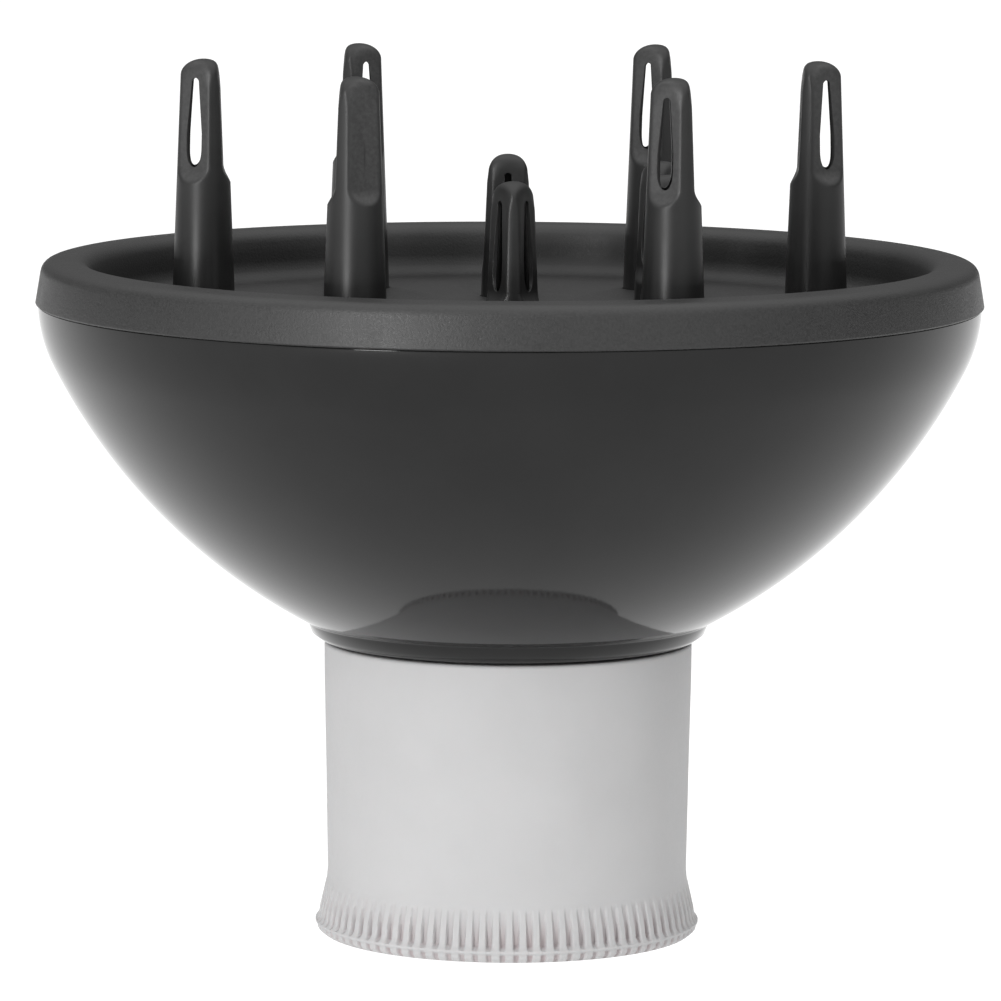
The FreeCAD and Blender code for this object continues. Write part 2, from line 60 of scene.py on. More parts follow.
# Sizes that the outlines below hang on.
PLATE_HIGH = extent("finger_plate")[1]
BOWL_LOW, BOWL_HIGH = extent("bowl_shell")
SLEEVE_HIGH = extent("dryer_sleeve")[1]
RIM = PLATE_HIGH.x                     # widest corner of the rim
CREST = PLATE_HIGH.z                   # top of the rim
INNER = RIM - 10.25                    # foot of the rim's inner wall
DISH = RIM - 13.7                      # edge of the plate's flat
PLATE_TOP = CREST - 9.06               # upper face of the plate
PLATE_SKIN = 2.0
EDGE = BOWL_HIGH.z                     # upper edge of the bowl
SEAM = EDGE + 0.6                      # where the bowl and the rim meet outside
NECK_END = BOWL_LOW.z                  # lower end of the bowl's neck
SLEEVE_TOP = SLEEVE_HIGH.z
LIP = SLEEVE_HIGH.x                    # widest ring of the sleeve
SLEEVE_WALL = 31.2                     # outside of the sleeve at its upper edge
WAIST = 30.5                           # outside of the sleeve where its foot starts
WAIST_HEIGHT = 9.8
TURNED_COLUMNS = 288                   # faces round the bowl and the plate


# ---------------------------------------------------------------- outlines
MOST_OF_A_SIDE = 0.48                  # share of a side that one rounded corner may take
ARC_STEP = 1.6                         # length of a short side of an arc


def arc_points(start, end, radius, left):
    """Points after start up to end on the short arc of that radius, its centre left or right of the way."""
    start, end = Vector(start), Vector(end)
    way = end - start
    height = math.sqrt(radius ** 2 - (way.length / 2) ** 2)
    side = Vector((-way.y, way.x)).normalized() * (height if left else -height)
    centre = (start + end) / 2 + side
    first, last = start - centre, end - centre
    turn = math.asin(max(-1.0, min(1.0, (first.x * last.y - first.y * last.x) / radius ** 2)))
    count = max(2, round(abs(turn) * radius / ARC_STEP))
    points = []
    for index in range(1, count + 1):
        angle = turn * index / count
        cos, sin = math.cos(angle), math.sin(angle)
        points.append(centre + Vector((first.x * cos - first.y * sin, first.x * sin + first.y * cos)))
    return points


def trace(corners, bits=6):
    """Points of a closed outline given as (r, z), with options in a dict after them.

    {"arc": radius, "left": True} reaches the corner by an arc. {"soft": radius} rounds the corner in so
    many bits.
    """
    points, softness = [], []
    for index, corner in enumerate(corners):
        place, options = Vector(corner[:2]), (corner[2] if len(corner) > 2 else {})
        if "arc" in options:
            run = arc_points(Vector(corners[index - 1][:2]), place, options["arc"], options["left"])
        else:
            run = [place]
        points += run
        softness += [0.0] * (len(run) - 1) + [options.get("soft", 0.0)]
    result = []
    for index, (point, soft) in enumerate(zip(points, softness)):
        if not soft:
            result.append(point)
            continue
        back, ahead = points[index - 1] - point, points[(index + 1) % len(points)] - point
        half = back.angle(ahead) / 2
        reach = min(soft / math.tan(half), MOST_OF_A_SIDE * back.length, MOST_OF_A_SIDE * ahead.length)
        start, end = point + back.normalized() * reach, point + ahead.normalized() * reach
        for bit in range(bits + 1):
            t = bit / bits
            result.append(start * (1 - t) ** 2 + point * 2 * t * (1 - t) + end * t ** 2)
    return result


# ---------------------------------------------------------------- meshes
SHARP = 38.0                           # edges bent by more degrees than this stay sharp in the shading
SAME_POINT, SAME_EDGE = 2e-7, 1e-7     # closer than this counts as one, in metres


def new_piece(name, verts, faces, body, material, replaces, mask=None, sharp=SHARP):
    """A smooth-shaded mesh, in place, that rides on a body. mask is a point attribute: (name, values)."""
    mesh = bpy.data.meshes.new(name)
    mesh.from_pydata([tuple(v) for v in verts], [], faces)
    if mask is not None:
        values = np.asarray(mask[1], dtype=np.float32).ravel()
        mesh.attributes.new(mask[0], "FLOAT", "POINT").data.foreach_set("value", values)
    piece = bpy.data.objects.new(name, mesh)
    bpy.context.scene.collection.objects.link(piece)
    clean(mesh, sharp)
    mesh.materials.append(material)
    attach(piece, body)
    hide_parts(*replaces)
    return piece


def clean(mesh, sharp):
    """Merge doubled points, drop collapsed faces, turn the normals outwards and shade smooth."""
    bm = bmesh.new()
    bm.from_mesh(mesh)
    bmesh.ops.remove_doubles(bm, verts=bm.verts, dist=SAME_POINT)
    bmesh.ops.dissolve_degenerate(bm, edges=bm.edges, dist=SAME_EDGE)
    bmesh.ops.recalc_face_normals(bm, faces=bm.faces)
    bm.to_mesh(mesh)
    bm.free()
    mesh.shade_smooth()
    mesh.set_sharp_from_angle(angle=math.radians(sharp))


def lathe(outline, columns, shape=None):
    """Points and faces of an outline turned about the axis. shape(r, z, angle) may move each point."""
    ring = np.array([(point.x, point.y) for point in outline])
    angles = np.arange(columns) * (2 * math.pi / columns)
    r = np.repeat(ring[:, 0][None, :], columns, axis=0)
    z = np.repeat(ring[:, 1][None, :], columns, axis=0)
    angle = np.repeat(angles[:, None], len(ring), axis=1)
    if shape is not None:
        r, z = shape(r, z, angle)
    verts = np.stack([r * np.cos(angle), r * np.sin(angle), z], axis=-1).reshape(-1, 3) * MM
    rows = len(ring)
    faces = []
    for column in range(columns):
        here, there = column * rows, ((column + 1) % columns) * rows
        for row in range(rows):
            following = (row + 1) % rows
            faces.append((here + row, there + row, there + following, here + following))
    return verts, faces


# ---------------------------------------------------------------- materials
class Recipe:
    """The node tree of a material or a world, written as a short list of steps."""

    def __init__(self, name, world=False):
        self.owner = bpy.data.worlds.new(name) if world else bpy.data.materials.new(name)
        self.owner.use_nodes = True
        self.tree = self.owner.node_tree
        kind = "BACKGROUND" if world else "BSDF_PRINCIPLED"
        self.shader = next(node for node in self.tree.nodes if node.type == kind)
        self.place = self.add("ShaderNodeTexCoord").outputs["Generated" if world else "Object"]

    def add(self, kind, **inputs):
        """A node whose inputs are given by name; an output given as a value is linked."""
        node = self.tree.nodes.new(kind)
        for key, value in inputs.items():
            self.feed(node.inputs[key.replace("_", " ")], value)
        return node

    def feed(self, socket, value):
        if isinstance(value, bpy.types.NodeSocket):
            self.tree.links.new(value, socket)
        else:
            socket.default_value = value

    def set(self, **inputs):
        """Set the shader's own sockets."""
        for key, value in inputs.items():
            self.feed(self.shader.inputs[key.replace("_", " ")], value)

    def noise(self, scale, detail, roughness):
        """Cloudy noise with about so many lumps to the metre."""
        node = self.add("ShaderNodeTexNoise", Vector=self.place, Scale=scale, Detail=detail,
                        Roughness=roughness)
        return node.outputs["Fac"]

    def attribute(self, name):
        """Value of a point attribute of the mesh, 0 where a mesh has none."""
        node = self.add("ShaderNodeAttribute")
        node.attribute_name = name
        return node.outputs["Fac"]

    def spread(self, value, low, high, to_low, to_high):
        """Stretch value from the range low..high to to_low..to_high."""
        node = self.add("ShaderNodeMapRange", Value=value)
        for key, number in [("From Min", low), ("From Max", high), ("To Min", to_low), ("To Max", to_high)]:
            node.inputs[key].default_value = number
        return node.outputs["Result"]

    def tint(self, value, *stops):
        """Colour from a value, by a ramp of (position, grey or colour)."""
        ramp = self.add("ShaderNodeValToRGB", Fac=value)
        elements = ramp.color_ramp.elements
        while len(elements) < len(stops):
            elements.new(0.5)
        for element, (position, colour) in zip(elements, stops):
            element.position = position
            element.color = (*((colour,) * 3 if isinstance(colour, float) else colour), 1.0)
        return ramp.outputs["Color"]

    def blend(self, value, first, second):
        """Mix two colours by a value."""
        node = self.tree.nodes.new("ShaderNodeMix")
        node.data_type = "RGBA"
        self.feed(node.inputs["Factor"], value)
        self.feed(node.inputs[6], first)
        self.feed(node.inputs[7], second)
        return node.outputs[2]

    def math(self, operation, first, second):
        node = self.tree.nodes.new("ShaderNodeMath")
        node.operation = operation
        self.feed(node.inputs[0], first)
        self.feed(node.inputs[1], second)
        return node.outputs[0]

    def bump(self, height, distance, strength=1.0, under=None):
        """Bump of a height from 0 to 1, as deep as distance in metres."""
        node = self.add("ShaderNodeBump", Height=height, Distance=distance, Strength=strength)
        if under is not None:
            self.feed(node.inputs["Normal"], under)
        return node.outputs["Normal"]


def grey(value):
    """A neutral colour."""
    return (value, value, value, 1.0)


def bowl_gloss():
    """Polished charcoal moulding: faint waviness in the gloss and a little dust in the roughness."""
    recipe = Recipe("bowl_gloss")
    haze = recipe.noise(55.0, 4.0, 0.6)
    grit = recipe.noise(2600.0, 2.0, 0.5)
    recipe.set(Base_Color=recipe.tint(haze, (0.35, 0.005), (0.65, 0.007)))
    recipe.set(Specular_Tint=grey(0.80), IOR=1.40)
    gloss = recipe.spread(haze, 0.3, 0.7, 0.04, 0.07)
    dust = recipe.spread(grit, 0.4, 0.6, 0.0, 0.02)
    recipe.set(Roughness=recipe.math("ADD", gloss, dust))
    wave = recipe.bump(recipe.noise(28.0, 2.0, 0.4), 0.00006)
    recipe.set(Normal=recipe.bump(grit, 0.0000025, 1.0, wave))
    return recipe.owner


def plate_matte():
    """Charcoal plastic from a spark-eroded mould, whose fine grain breaks up the light.

    The rim, its inner wall and the plate are one moulding, painted in three tones for how light falls on
    them, and are told apart by the distance from the axis: the inner wall is painted darkest, as painted
    shade, and the plate and the wall reflect less, also painted shade.
    """
    recipe = Recipe("plate_matte")
    grain = recipe.noise(2300.0, 3.0, 0.65)
    patch = recipe.noise(90.0, 4.0, 0.55)
    # Lit and shaded copies of one colour: the inner wall is painted darkest, as painted shade.
    rim = recipe.tint(grain, (0.30, 0.009), (0.72, 0.022))
    rim = recipe.blend(recipe.spread(patch, 0.3, 0.7, 0.0, 0.25), rim, grey(0.018))
    wall = recipe.tint(grain, (0.30, 0.004), (0.72, 0.007))
    plate = recipe.tint(grain, (0.30, 0.017), (0.72, 0.025))
    across, along, _ = recipe.add("ShaderNodeSeparateXYZ", Vector=recipe.place).outputs
    square = recipe.math("ADD", recipe.math("POWER", across, 2.0), recipe.math("POWER", along, 2.0))
    reach = recipe.math("POWER", square, 0.5)
    on_plate = recipe.spread(reach, (INNER - 0.65) * MM, (INNER - 0.05) * MM, 1.0, 0.0)
    on_rim = recipe.spread(reach, (INNER + 0.35) * MM, (INNER + 1.15) * MM, 0.0, 1.0)
    recipe.set(Base_Color=recipe.blend(on_rim, recipe.blend(on_plate, wall, plate), rim))
    # Weaker reflection on the plate and the inner wall: painted shade.
    recipe.set(Specular_Tint=recipe.blend(on_rim, grey(0.62), grey(1.0)))
    speckle = recipe.spread(grain, 0.3, 0.7, -0.07, 0.07)
    recipe.set(Roughness=recipe.math("ADD", recipe.spread(patch, 0.3, 0.7, 0.42, 0.50), speckle))
    recipe.set(Normal=recipe.bump(grain, 0.00006, 0.9))
    return recipe.owner


def finger_satin():
    """Charcoal plastic with flow marks, polished near the plate, satin above; the tall fingers' flats are
    painted a lighter, grainy colour, as painted light.
    """
    recipe = Recipe("finger_satin")
    grain = recipe.noise(1500.0, 3.0, 0.6)
    flow = recipe.noise(160.0, 3.0, 0.5)
    plain = recipe.tint(flow, (0.3, 0.007), (0.7, 0.011))
    # Lighter grainy colour on the tall fingers' flats: eroded grain, made lighter as painted light.
    eroded = recipe.tint(grain, (0.3, 0.019), (0.7, 0.035))
    recipe.set(Base_Color=recipe.blend(recipe.attribute("flat"), plain, eroded))
    recipe.set(Specular_Tint=grey(0.87))
    height = recipe.add("ShaderNodeSeparateXYZ", Vector=recipe.place).outputs["Z"]
    polish = recipe.spread(height, (PLATE_TOP + 3.0) * MM, (PLATE_TOP + 18.0) * MM, 0.29, 0.43)
    recipe.set(Roughness=recipe.math("ADD", polish, recipe.spread(flow, 0.3, 0.7, -0.01, 0.02)))
    recipe.set(Normal=recipe.bump(grain, 0.000012, 0.6))
    return recipe.owner


def inner_matte(name, tone):
    """Plain dark moulding for the pieces inside."""
    recipe = Recipe(name)
    grain = recipe.noise(1800.0, 3.0, 0.6)
    patch = recipe.noise(120.0, 3.0, 0.5)
    recipe.set(Base_Color=recipe.tint(patch, (0.3, tone * 0.85), (0.7, tone * 1.15)))
    recipe.set(Roughness=recipe.spread(patch, 0.3, 0.7, 0.42, 0.55))
    recipe.set(Normal=recipe.bump(grain, 0.00002, 0.6))
    return recipe.owner


def screw_steel():
    """Zinc-plated steel with turning marks round each head."""
    recipe = Recipe("screw_steel")
    marks = recipe.noise(2200.0, 2.0, 0.5)
    cloud = recipe.noise(400.0, 3.0, 0.5)
    recipe.set(Base_Color=recipe.tint(cloud, (0.3, (0.48, 0.49, 0.51)), (0.7, (0.60, 0.60, 0.60))))
    recipe.set(Metallic=1.0)
    recipe.set(Roughness=recipe.spread(cloud, 0.3, 0.7, 0.24, 0.38))
    recipe.set(Normal=recipe.bump(marks, 0.00001, 0.5))
    return recipe.owner


def sleeve_silicone():
    """Light grey silicone: soft and dusty; the grooves between the ribs are painted darker and a little
    pink, strongest low down, as painted shade.
    """
    recipe = Recipe("sleeve_silicone")
    dust = recipe.noise(1400.0, 3.0, 0.6)
    cloud = recipe.noise(60.0, 4.0, 0.55)
    plain = recipe.tint(cloud, (0.3, (0.432, 0.430, 0.433)), (0.7, (0.455, 0.453, 0.456)))
    # Darker, pinker colour in the grooves between the ribs: painted shade with a warm tint.
    warm_shade = recipe.blend(recipe.spread(cloud, 0.35, 0.65, 0.5, 1.0), plain, (0.400, 0.335, 0.340, 1.0))
    recipe.set(Base_Color=recipe.blend(recipe.attribute("groove"), plain, warm_shade))
    recipe.set(Roughness=recipe.spread(dust, 0.3, 0.7, 0.55, 0.70), Specular_IOR_Level=0.35)
    recipe.set(Subsurface_Weight=0.12, Subsurface_Scale=0.0015)
    recipe.set(Subsurface_Radius=(1.0, 0.75, 0.7))
    recipe.set(Normal=recipe.bump(dust, 0.000015, 0.5))
    return recipe.owner


# ---------------------------------------------------------------- bowl
def build_bowl(material):
    """The bowl's shell with its neck, as one closed skin."""
    wall, bore, neck = 2.0, 25.2, 27.0
    bead, bead_slope, bead_land = 27.75, 0.7, 0.5
    shoulder, shoulder_edge = 50.5, 31.9
    slope_end, slope_height = 33.35, 51.55
    knee, knee_height = 34.1, 53.4
    bend, bend_height = 77.0, 97.0
    belly, short_curve = 101.0, 24.4
    edge_radius, rebate, rebate_floor, ledge = RIM - 0.4, RIM - 2.5, EDGE - 4.0, 1.0
    outline = trace([
        (bore, NECK_END, {"soft": 0.3}),
        (neck, NECK_END, {"soft": 0.3}),
        (bead, NECK_END + bead_slope, {"soft": 0.2}),
        (bead, NECK_END + bead_slope + bead_land, {"soft": 0.2}),
        (neck, NECK_END + bead_slope + bead_land * 2, {"soft": 0.2}),
        (neck, shoulder, {"soft": 0.3}),
        (shoulder_edge - 0.15, shoulder),
        (shoulder_edge, shoulder, {"soft": 0.45}),
        (slope_end, slope_height),
        (knee, knee_height, {"soft": 0.7}),
        (bend, bend_height, {"arc": belly, "left": True}),
        (edge_radius, SEAM, {"arc": short_curve, "left": True, "soft": 0.16}),
        (rebate, SEAM, {"soft": 0.2}),
        (rebate, rebate_floor, {"soft": 0.2}),
        (rebate - ledge, rebate_floor, {"soft": 0.3}),
        (bend - wall * 0.9, bend_height + wall * 0.45),
        (knee - wall * 1.2, knee_height + wall * 0.5, {"arc": belly - wall, "left": False}),
        (bore, shoulder + wall * 0.75, {"soft": 0.6}),
    ])
    verts, faces = lathe(outline, TURNED_COLUMNS)
    return new_piece("bowl", verts, faces, "bowl", material, ["bowl_shell"])


# ---------------------------------------------------------------- plate and rim
FINGERS_PER_RING = 6
TIP_RADIUS = {"tall": 3.77, "short": 3.64}
FOOT_RADIUS = {"tall": 7.2, "short": 6.6}
DRAFT = 0.0375                         # widening of a finger per millimetre of height
HOLE_GAP = 0.07                        # air between a finger and its hole


def finger_places():
    """Kind, number, angle in degrees, ring radius, foot and tip height of every finger, from the CAD."""
    for kind in ("tall", "short"):
        for number in range(1, FINGERS_PER_RING + 1):
            low, high = extent(f"{kind}_finger_{number}")
            centre = (low + high) / 2
            angle = math.degrees(math.atan2(centre.y, centre.x))
            yield kind, number, angle, math.hypot(centre.x, centre.y), low.z, high.z


def finger_radius(kind, below_tip):
    """Outside radius of a finger so far below its tip."""
    return TIP_RADIUS[kind] + DRAFT * below_tip


def build_plate(material):
    """The plate, the rolled rim and the skirt inside the bowl, with a hole for every finger."""
    under, land = PLATE_TOP - PLATE_SKIN, SEAM + 0.06
    rise, rise_curve, lean = 3.6, 3.7, 1.45
    taper, fall, undercut, undercut_height = 1.15, 0.3, 0.3, 0.25
    skirt, skirt_foot, skirt_wall = RIM - 2.6, EDGE - 3.85, 1.8
    outline = trace([
        (0.0, under),
        (0.0, PLATE_TOP),
        (DISH, PLATE_TOP),
        (INNER, PLATE_TOP + rise, {"arc": rise_curve, "left": True}),
        (INNER + lean, CREST + 0.07, {"soft": 3.1}),
        (RIM - taper, CREST - fall, {"soft": 2.3}),
        (RIM, land + undercut_height, {"soft": 0.12}),
        (RIM - undercut, land, {"soft": 0.1}),
        (skirt, land),
        (skirt, skirt_foot),
        (skirt - skirt_wall, skirt_foot),
        (skirt - skirt_wall, land + 0.5),
        (skirt, land + 1.9),
        (skirt - 0.4, CREST - PLATE_SKIN - fall),
        (INNER + 3.0, CREST - PLATE_SKIN),
        (INNER + 2.1, PLATE_TOP + rise - 0.3),
        (DISH, under, {"arc": rise_curve + PLATE_SKIN, "left": False}),
    ], bits=8)
    verts, faces = lathe(outline, TURNED_COLUMNS)
    plate = new_piece("plate", verts, faces, "bowl", material, ["finger_plate"])
    cutters = bmesh.new()
    cutter_length = 12.0
    for kind, _, angle, ring, _, tip in finger_places():
        turn = Matrix.Rotation(math.radians(angle), 4, "Z")
        spot = turn @ Matrix.Translation((ring * MM, 0, PLATE_TOP * MM))
        radius = (finger_radius(kind, tip - under) + HOLE_GAP) * MM
        bmesh.ops.create_cone(cutters, cap_ends=True, segments=64, radius1=radius, radius2=radius,
                              depth=cutter_length * MM, matrix=spot)
    cut_by(plate, cutters)
    return plate


def cut_by(piece, cutters):
    """Cut closed solids out of a piece, for good."""
    mesh = bpy.data.meshes.new("cutters")
    cutters.to_mesh(mesh)
    cutters.free()
    tool = bpy.data.objects.new("cutters", mesh)
    bpy.context.scene.collection.objects.link(tool)
    modifier = piece.modifiers.new("holes", "BOOLEAN")
    modifier.operation = "DIFFERENCE"
    modifier.solver = "EXACT"
    modifier.object = tool
    graph = bpy.context.evaluated_depsgraph_get()
    result = bpy.data.meshes.new_from_object(piece.evaluated_get(graph))
    piece.modifiers.remove(modifier)
    old = piece.data
    piece.data = result
    bpy.data.objects.remove(tool)
    bpy.data.meshes.remove(mesh)
    bpy.data.meshes.remove(old)
    clean(result, SHARP)


# ---------------------------------------------------------------- fingers
# Heights here are depths below the tip.
FLAT_DEPTH, FLAT_LENGTH, FLAT_RUN_OUT = 1.25, 20.6, 2.7
FLAT_HOLLOW = 1.12                     # 1 for a true plane, more for a gently scooped one
GRAINY_LIT_DEPTH = 0.3                       # a flat has its full lighter grainy colour, painted light, where it lies this deep under the round
WINDOW_TOP, WINDOW_END, WINDOW_HALF = 3.1, 18.1, 1.45
SHUT_FINGER, SHUT_FLAT = ("tall", 5), 0  # the one flat that has no window
SLIT_SHADE_MIDDLE, SLIT_SHADE_HALF = 12.8, 2.6     # faint dark slit on that flat: painted shade of a narrow recess, not cut into the mesh
FINGER_SKIN = 1.55
FOOT_BEVEL = 0.3
CROWN = 2.8                            # height of the rounded tip
EDGE_SOFT, CROWN_SOFT = 0.36, 1.7      # softness of the edges beside the flats, low down and at the tip
SECTOR = math.radians(60)              # half of the sector that belongs to one flat
SECTOR_STEPS = 12
FLATS = (math.radians(60), math.pi, math.radians(-60))
FOOT_ROWS, STEM_ROWS, RUN_OUT_ROWS, WINDOW_ROWS, CROWN_ROWS = 4, 6, 13, 27, 14


def soft_min(first, second, softness):
    """The smaller of two values, rounded where they meet."""
    near = np.maximum(softness - np.abs(first - second), 0.0) / softness
    return np.minimum(first, second) - near ** 2 * softness / 4


class FingerForm:
    """Heights of a finger's rows from the bottom of its foot to its tip, and its measures at each row."""

    def __init__(self, kind, base, tip):
        height = tip - base
        plate_gap, stem_gap, row_gap, hair = 0.05, 0.5, 0.2, 1e-6
        bore_past, bore_point = 0.6, 0.9   # how far the bore's wall and its point reach above the window
        collar = PLATE_TOP - PLATE_SKIN - base - plate_gap
        foot = FOOT_RADIUS[kind]
        stem = np.linspace(collar, height - FLAT_LENGTH - stem_gap, STEM_ROWS)
        run_out = np.linspace(height - FLAT_LENGTH - row_gap, height - WINDOW_END - row_gap, RUN_OUT_ROWS)
        sweep = (1 - np.cos(np.linspace(0, math.pi, WINDOW_ROWS))) / 2
        window = height - WINDOW_END + (WINDOW_END - WINDOW_TOP) * sweep
        swing = np.linspace(0, math.pi / 2, CROWN_ROWS + 1)[:-1]
        crown = height - CROWN + CROWN * np.sin(swing)
        foot_rows = [0.0, 0.0, collar - FOOT_BEVEL, collar]
        self.z = np.concatenate([foot_rows, stem, run_out, window, crown, [height]])
        below = self.below = height - self.z
        self.radius = finger_radius(kind, below)
        self.bore = self.radius - FINGER_SKIN
        self.radius[0] = self.bore[0]
        self.radius[1:FOOT_ROWS] = foot, foot, foot - FOOT_BEVEL
        self.radius[-CROWN_ROWS - 1:] = finger_radius(kind, CROWN) * np.append(np.cos(swing), 0.0)
        flat = finger_radius(kind, below) - FLAT_DEPTH
        run = np.maximum(below - FLAT_LENGTH + FLAT_RUN_OUT, 0) / FLAT_RUN_OUT
        end_radius, past_the_round = finger_radius(kind, FLAT_LENGTH), 6.0
        chord = end_radius ** 2 - (end_radius - FLAT_DEPTH) ** 2
        self.flat = np.sqrt(flat ** 2 + chord * run ** 2) + past_the_round * np.maximum(run - 1, 0)
        self.soft = np.interp(below, [CROWN - 1.0, CROWN + 2.0], [CROWN_SOFT, EDGE_SOFT])
        self.is_foot = np.arange(len(self.z)) < FOOT_ROWS
        self.open = (below > WINDOW_TOP - hair) & (below < WINDOW_END + hair)
        in_bore = below >= WINDOW_TOP - bore_past
        self.bore_rows = [row for row in range(FOOT_ROWS, len(self.z)) if in_bore[row]]
        self.bore_top = height - WINDOW_TOP + bore_point

    def surface(self, offset):
        """Outside radius at every row, at that angle from the middle of a flat."""
        plane = self.flat / np.cos(offset) ** FLAT_HOLLOW
        return np.where(self.is_foot, self.radius, np.maximum(soft_min(self.radius, plane, self.soft), 0.0))


def window_width(below):
    """Half width of the drop-shaped window so far below the tip: narrow at the top, widest low down."""
    narrow, widest, top_round, foot_start, foot_power = 0.42, 0.62, 0.03, 0.78, 2.4
    along = np.clip((below - WINDOW_TOP) / (WINDOW_END - WINDOW_TOP), 0, 1)
    taper = narrow + (1 - narrow) * np.clip(along / widest, 0, 1)
    top = np.sqrt(np.clip(along / top_round, 0, 1))
    foot = np.sqrt(1 - np.clip((along - foot_start) / (1 - foot_start), 0, 1) ** foot_power)
    return WINDOW_HALF * taper * top * foot


def column_angles(form, step, shut):
    """Angle from the middle of the flat at every row. The columns next to the middle follow the window."""
    even, closing = SECTOR / SECTOR_STEPS, 1.5
    beyond = np.maximum(np.maximum(WINDOW_TOP - form.below, form.below - WINDOW_END), 0)
    first = even * np.clip(beyond / closing, 0, 1)
    if not shut:
        first = np.where(form.open, np.arctan2(window_width(form.below), form.flat), first)
    else:
        first = np.full_like(first, even)
    share = (abs(step) - 1) / (SECTOR_STEPS - 1)
    return np.sign(step) * (first + (SECTOR - first) * share)


def build_finger(kind, number, angle, ring, base, tip, material, shut_flat):
    """One hollow finger: foot, round stem, three flats that run up into the tip, and windows in them.

    shut_flat is a flat that has no window, or None. Columns run along the finger, and the two beside the
    middle of a flat follow the window's edge, so that the window is a clean hole between the outer skin and
    the bore.
    """
    form = FingerForm(kind, base, tip)
    rows, bore_rows = len(form.z), form.bore_rows
    columns = [(flat, step) for flat in range(len(FLATS)) for step in range(-SECTOR_STEPS, SECTOR_STEPS)]
    outside, inside, flatness = [], [], []
    for flat, step in columns:
        offset = column_angles(form, step, flat == shut_flat) if step else np.zeros(rows)
        theta = FLATS[flat] + offset
        radius = form.surface(offset)
        if kind == "tall":
            # The tall fingers' flats get a lighter grainy colour, painted light; the short fingers, which
            # stand in shade, keep the plain colour.
            grainy_lit = np.clip((form.radius - radius) / GRAINY_LIT_DEPTH, 0, 1) * ~form.is_foot
            # Painted shade of a narrow recess: the shut flat keeps its darker plain colour in a short slit.
            if flat == shut_flat and step == 0:
                grainy_lit = grainy_lit * np.clip(np.abs(form.below - SLIT_SHADE_MIDDLE) / SLIT_SHADE_HALF - 0.2, 0, 1)
            flatness.append(grainy_lit)
        else:
            flatness.append(np.zeros(rows))
        outside.append(np.stack([radius * np.cos(theta), radius * np.sin(theta), form.z], axis=1))
        bore = np.stack([form.bore * np.cos(theta), form.bore * np.sin(theta), form.z], axis=1)[bore_rows]
        root = [form.bore[0] * math.cos(theta[0]), form.bore[0] * math.sin(theta[0]), 0.0]
        inside.append(np.vstack([root, bore, [0.0, 0.0, form.bore_top]]))
    depth = len(bore_rows) + 2
    verts = np.vstack(outside + inside)
    start = len(columns) * rows
    mask = ("flat", np.concatenate([*flatness, np.zeros(len(verts) - start)]))
    faces = []
    for index, (flat, step) in enumerate(columns):
        following = (index + 1) % len(columns)
        here, there = index * rows, following * rows
        deep, deep_there = start + index * depth, start + following * depth
        hole = step in (-1, 0) and flat != shut_flat
        # The outer skin, open at the windows, and the foot's underside.
        for row in range(1, rows - 1):
            if not (hole and form.open[row] and form.open[row + 1]):
                faces.append((here + row, there + row, there + row + 1, here + row + 1))
        faces.append((here + 1, deep, deep_there, there + 1))
        # The bore's wall, open at the windows too, and the sides of the windows between the two skins.
        for level in range(depth - 1):
            pair = bore_rows[max(level - 1, 0):level + 1]
            if not (hole and len(pair) == 2 and form.open[pair[0]] and form.open[pair[1]]):
                faces.append((deep + level, deep + level + 1, deep_there + level + 1, deep_there + level))
            beside = step in (-1, 1) and flat != shut_flat
            if beside and len(pair) == 2 and form.open[pair[0]] and form.open[pair[1]]:
                faces.append((here + pair[0], here + pair[1], deep + level + 1, deep + level))
    turn = Matrix.Rotation(math.radians(angle), 3, "Z")
    centre = turn @ Vector((ring, 0.0, 0.0)) + Vector((0.0, 0.0, base))
    verts = [(turn @ Vector(vert) + centre) * MM for vert in verts]
    name = f"{kind}_finger_{number}"
    finger = new_piece(f"{name}_skin", verts, faces, "bowl", material, [name], mask)
    edge_angle, edge_round = 50, 0.1
    soften = finger.modifiers.new("soft_edges", "BEVEL")
    soften.limit_method = "ANGLE"
    soften.angle_limit = math.radians(edge_angle)
    soften.width = edge_round * MM
    soften.segments = 2
    return finger


# ---------------------------------------------------------------- sleeve
RIBS = 88
RIB_COLUMNS = 14                       # faces round the sleeve for one rib and its groove
RIB_FOOT, RIB_TOP = 2.2, 8.9           # heights where the grooves above the thin ring start and end
LINE = 1.9                             # height of the thin ring
RIB_STEP = 0.35                        # height of a row of faces among the ribs


def with_more_rows(outline):
    """The sleeve's outline with the long sides of its ribbed foot split into short ones."""
    result = []
    for index, point in enumerate(outline):
        result.append(point)
        following = outline[(index + 1) % len(outline)]
        outside = point.x > WAIST - 0.5 and following.x > WAIST - 0.5
        if outside and point.y < WAIST_HEIGHT + 0.7 and following.y > point.y:
            pieces = max(1, round((following.y - point.y) / RIB_STEP))
            result += [point.lerp(following, k / pieces) for k in range(1, pieces)]
    return result


def grooves(r, z, angle):
    """How far the foot's surface lies in a groove between two ribs: its depth and its share of shade."""
    wave = 0.5 - 0.5 * np.cos(angle * RIBS)
    bank = np.interp(z, [RIB_FOOT, 9.0], [0.68, 0.48])
    bank_start, bank_width = 0.14, 0.32
    valley = np.clip((wave - bank + bank_start) / bank_width, 0, 1)
    valley = valley * valley * (3 - 2 * valley)
    outside = (r > WAIST - 0.6).astype(float)
    above = np.clip((RIB_TOP - z) / 0.9, 0, 1) * np.clip((z - LINE - 0.25) / 0.5, 0, 1)
    below = np.clip((LINE - 0.3 - z) / 0.35, 0, 1) * np.clip(z / 0.2, 0, 1)
    depth_above = np.clip(r - WAIST, 0, None) * np.interp(z, [RIB_FOOT, 7.5], [0.64, 0.54])
    depth_below = 0.65
    shade = np.interp(z, [RIB_FOOT, 7.5], [0.95, 0.1])
    depth = outside * valley * (above * depth_above + below * depth_below)
    return depth, outside * valley * shade * np.clip(above + below, 0, 1)


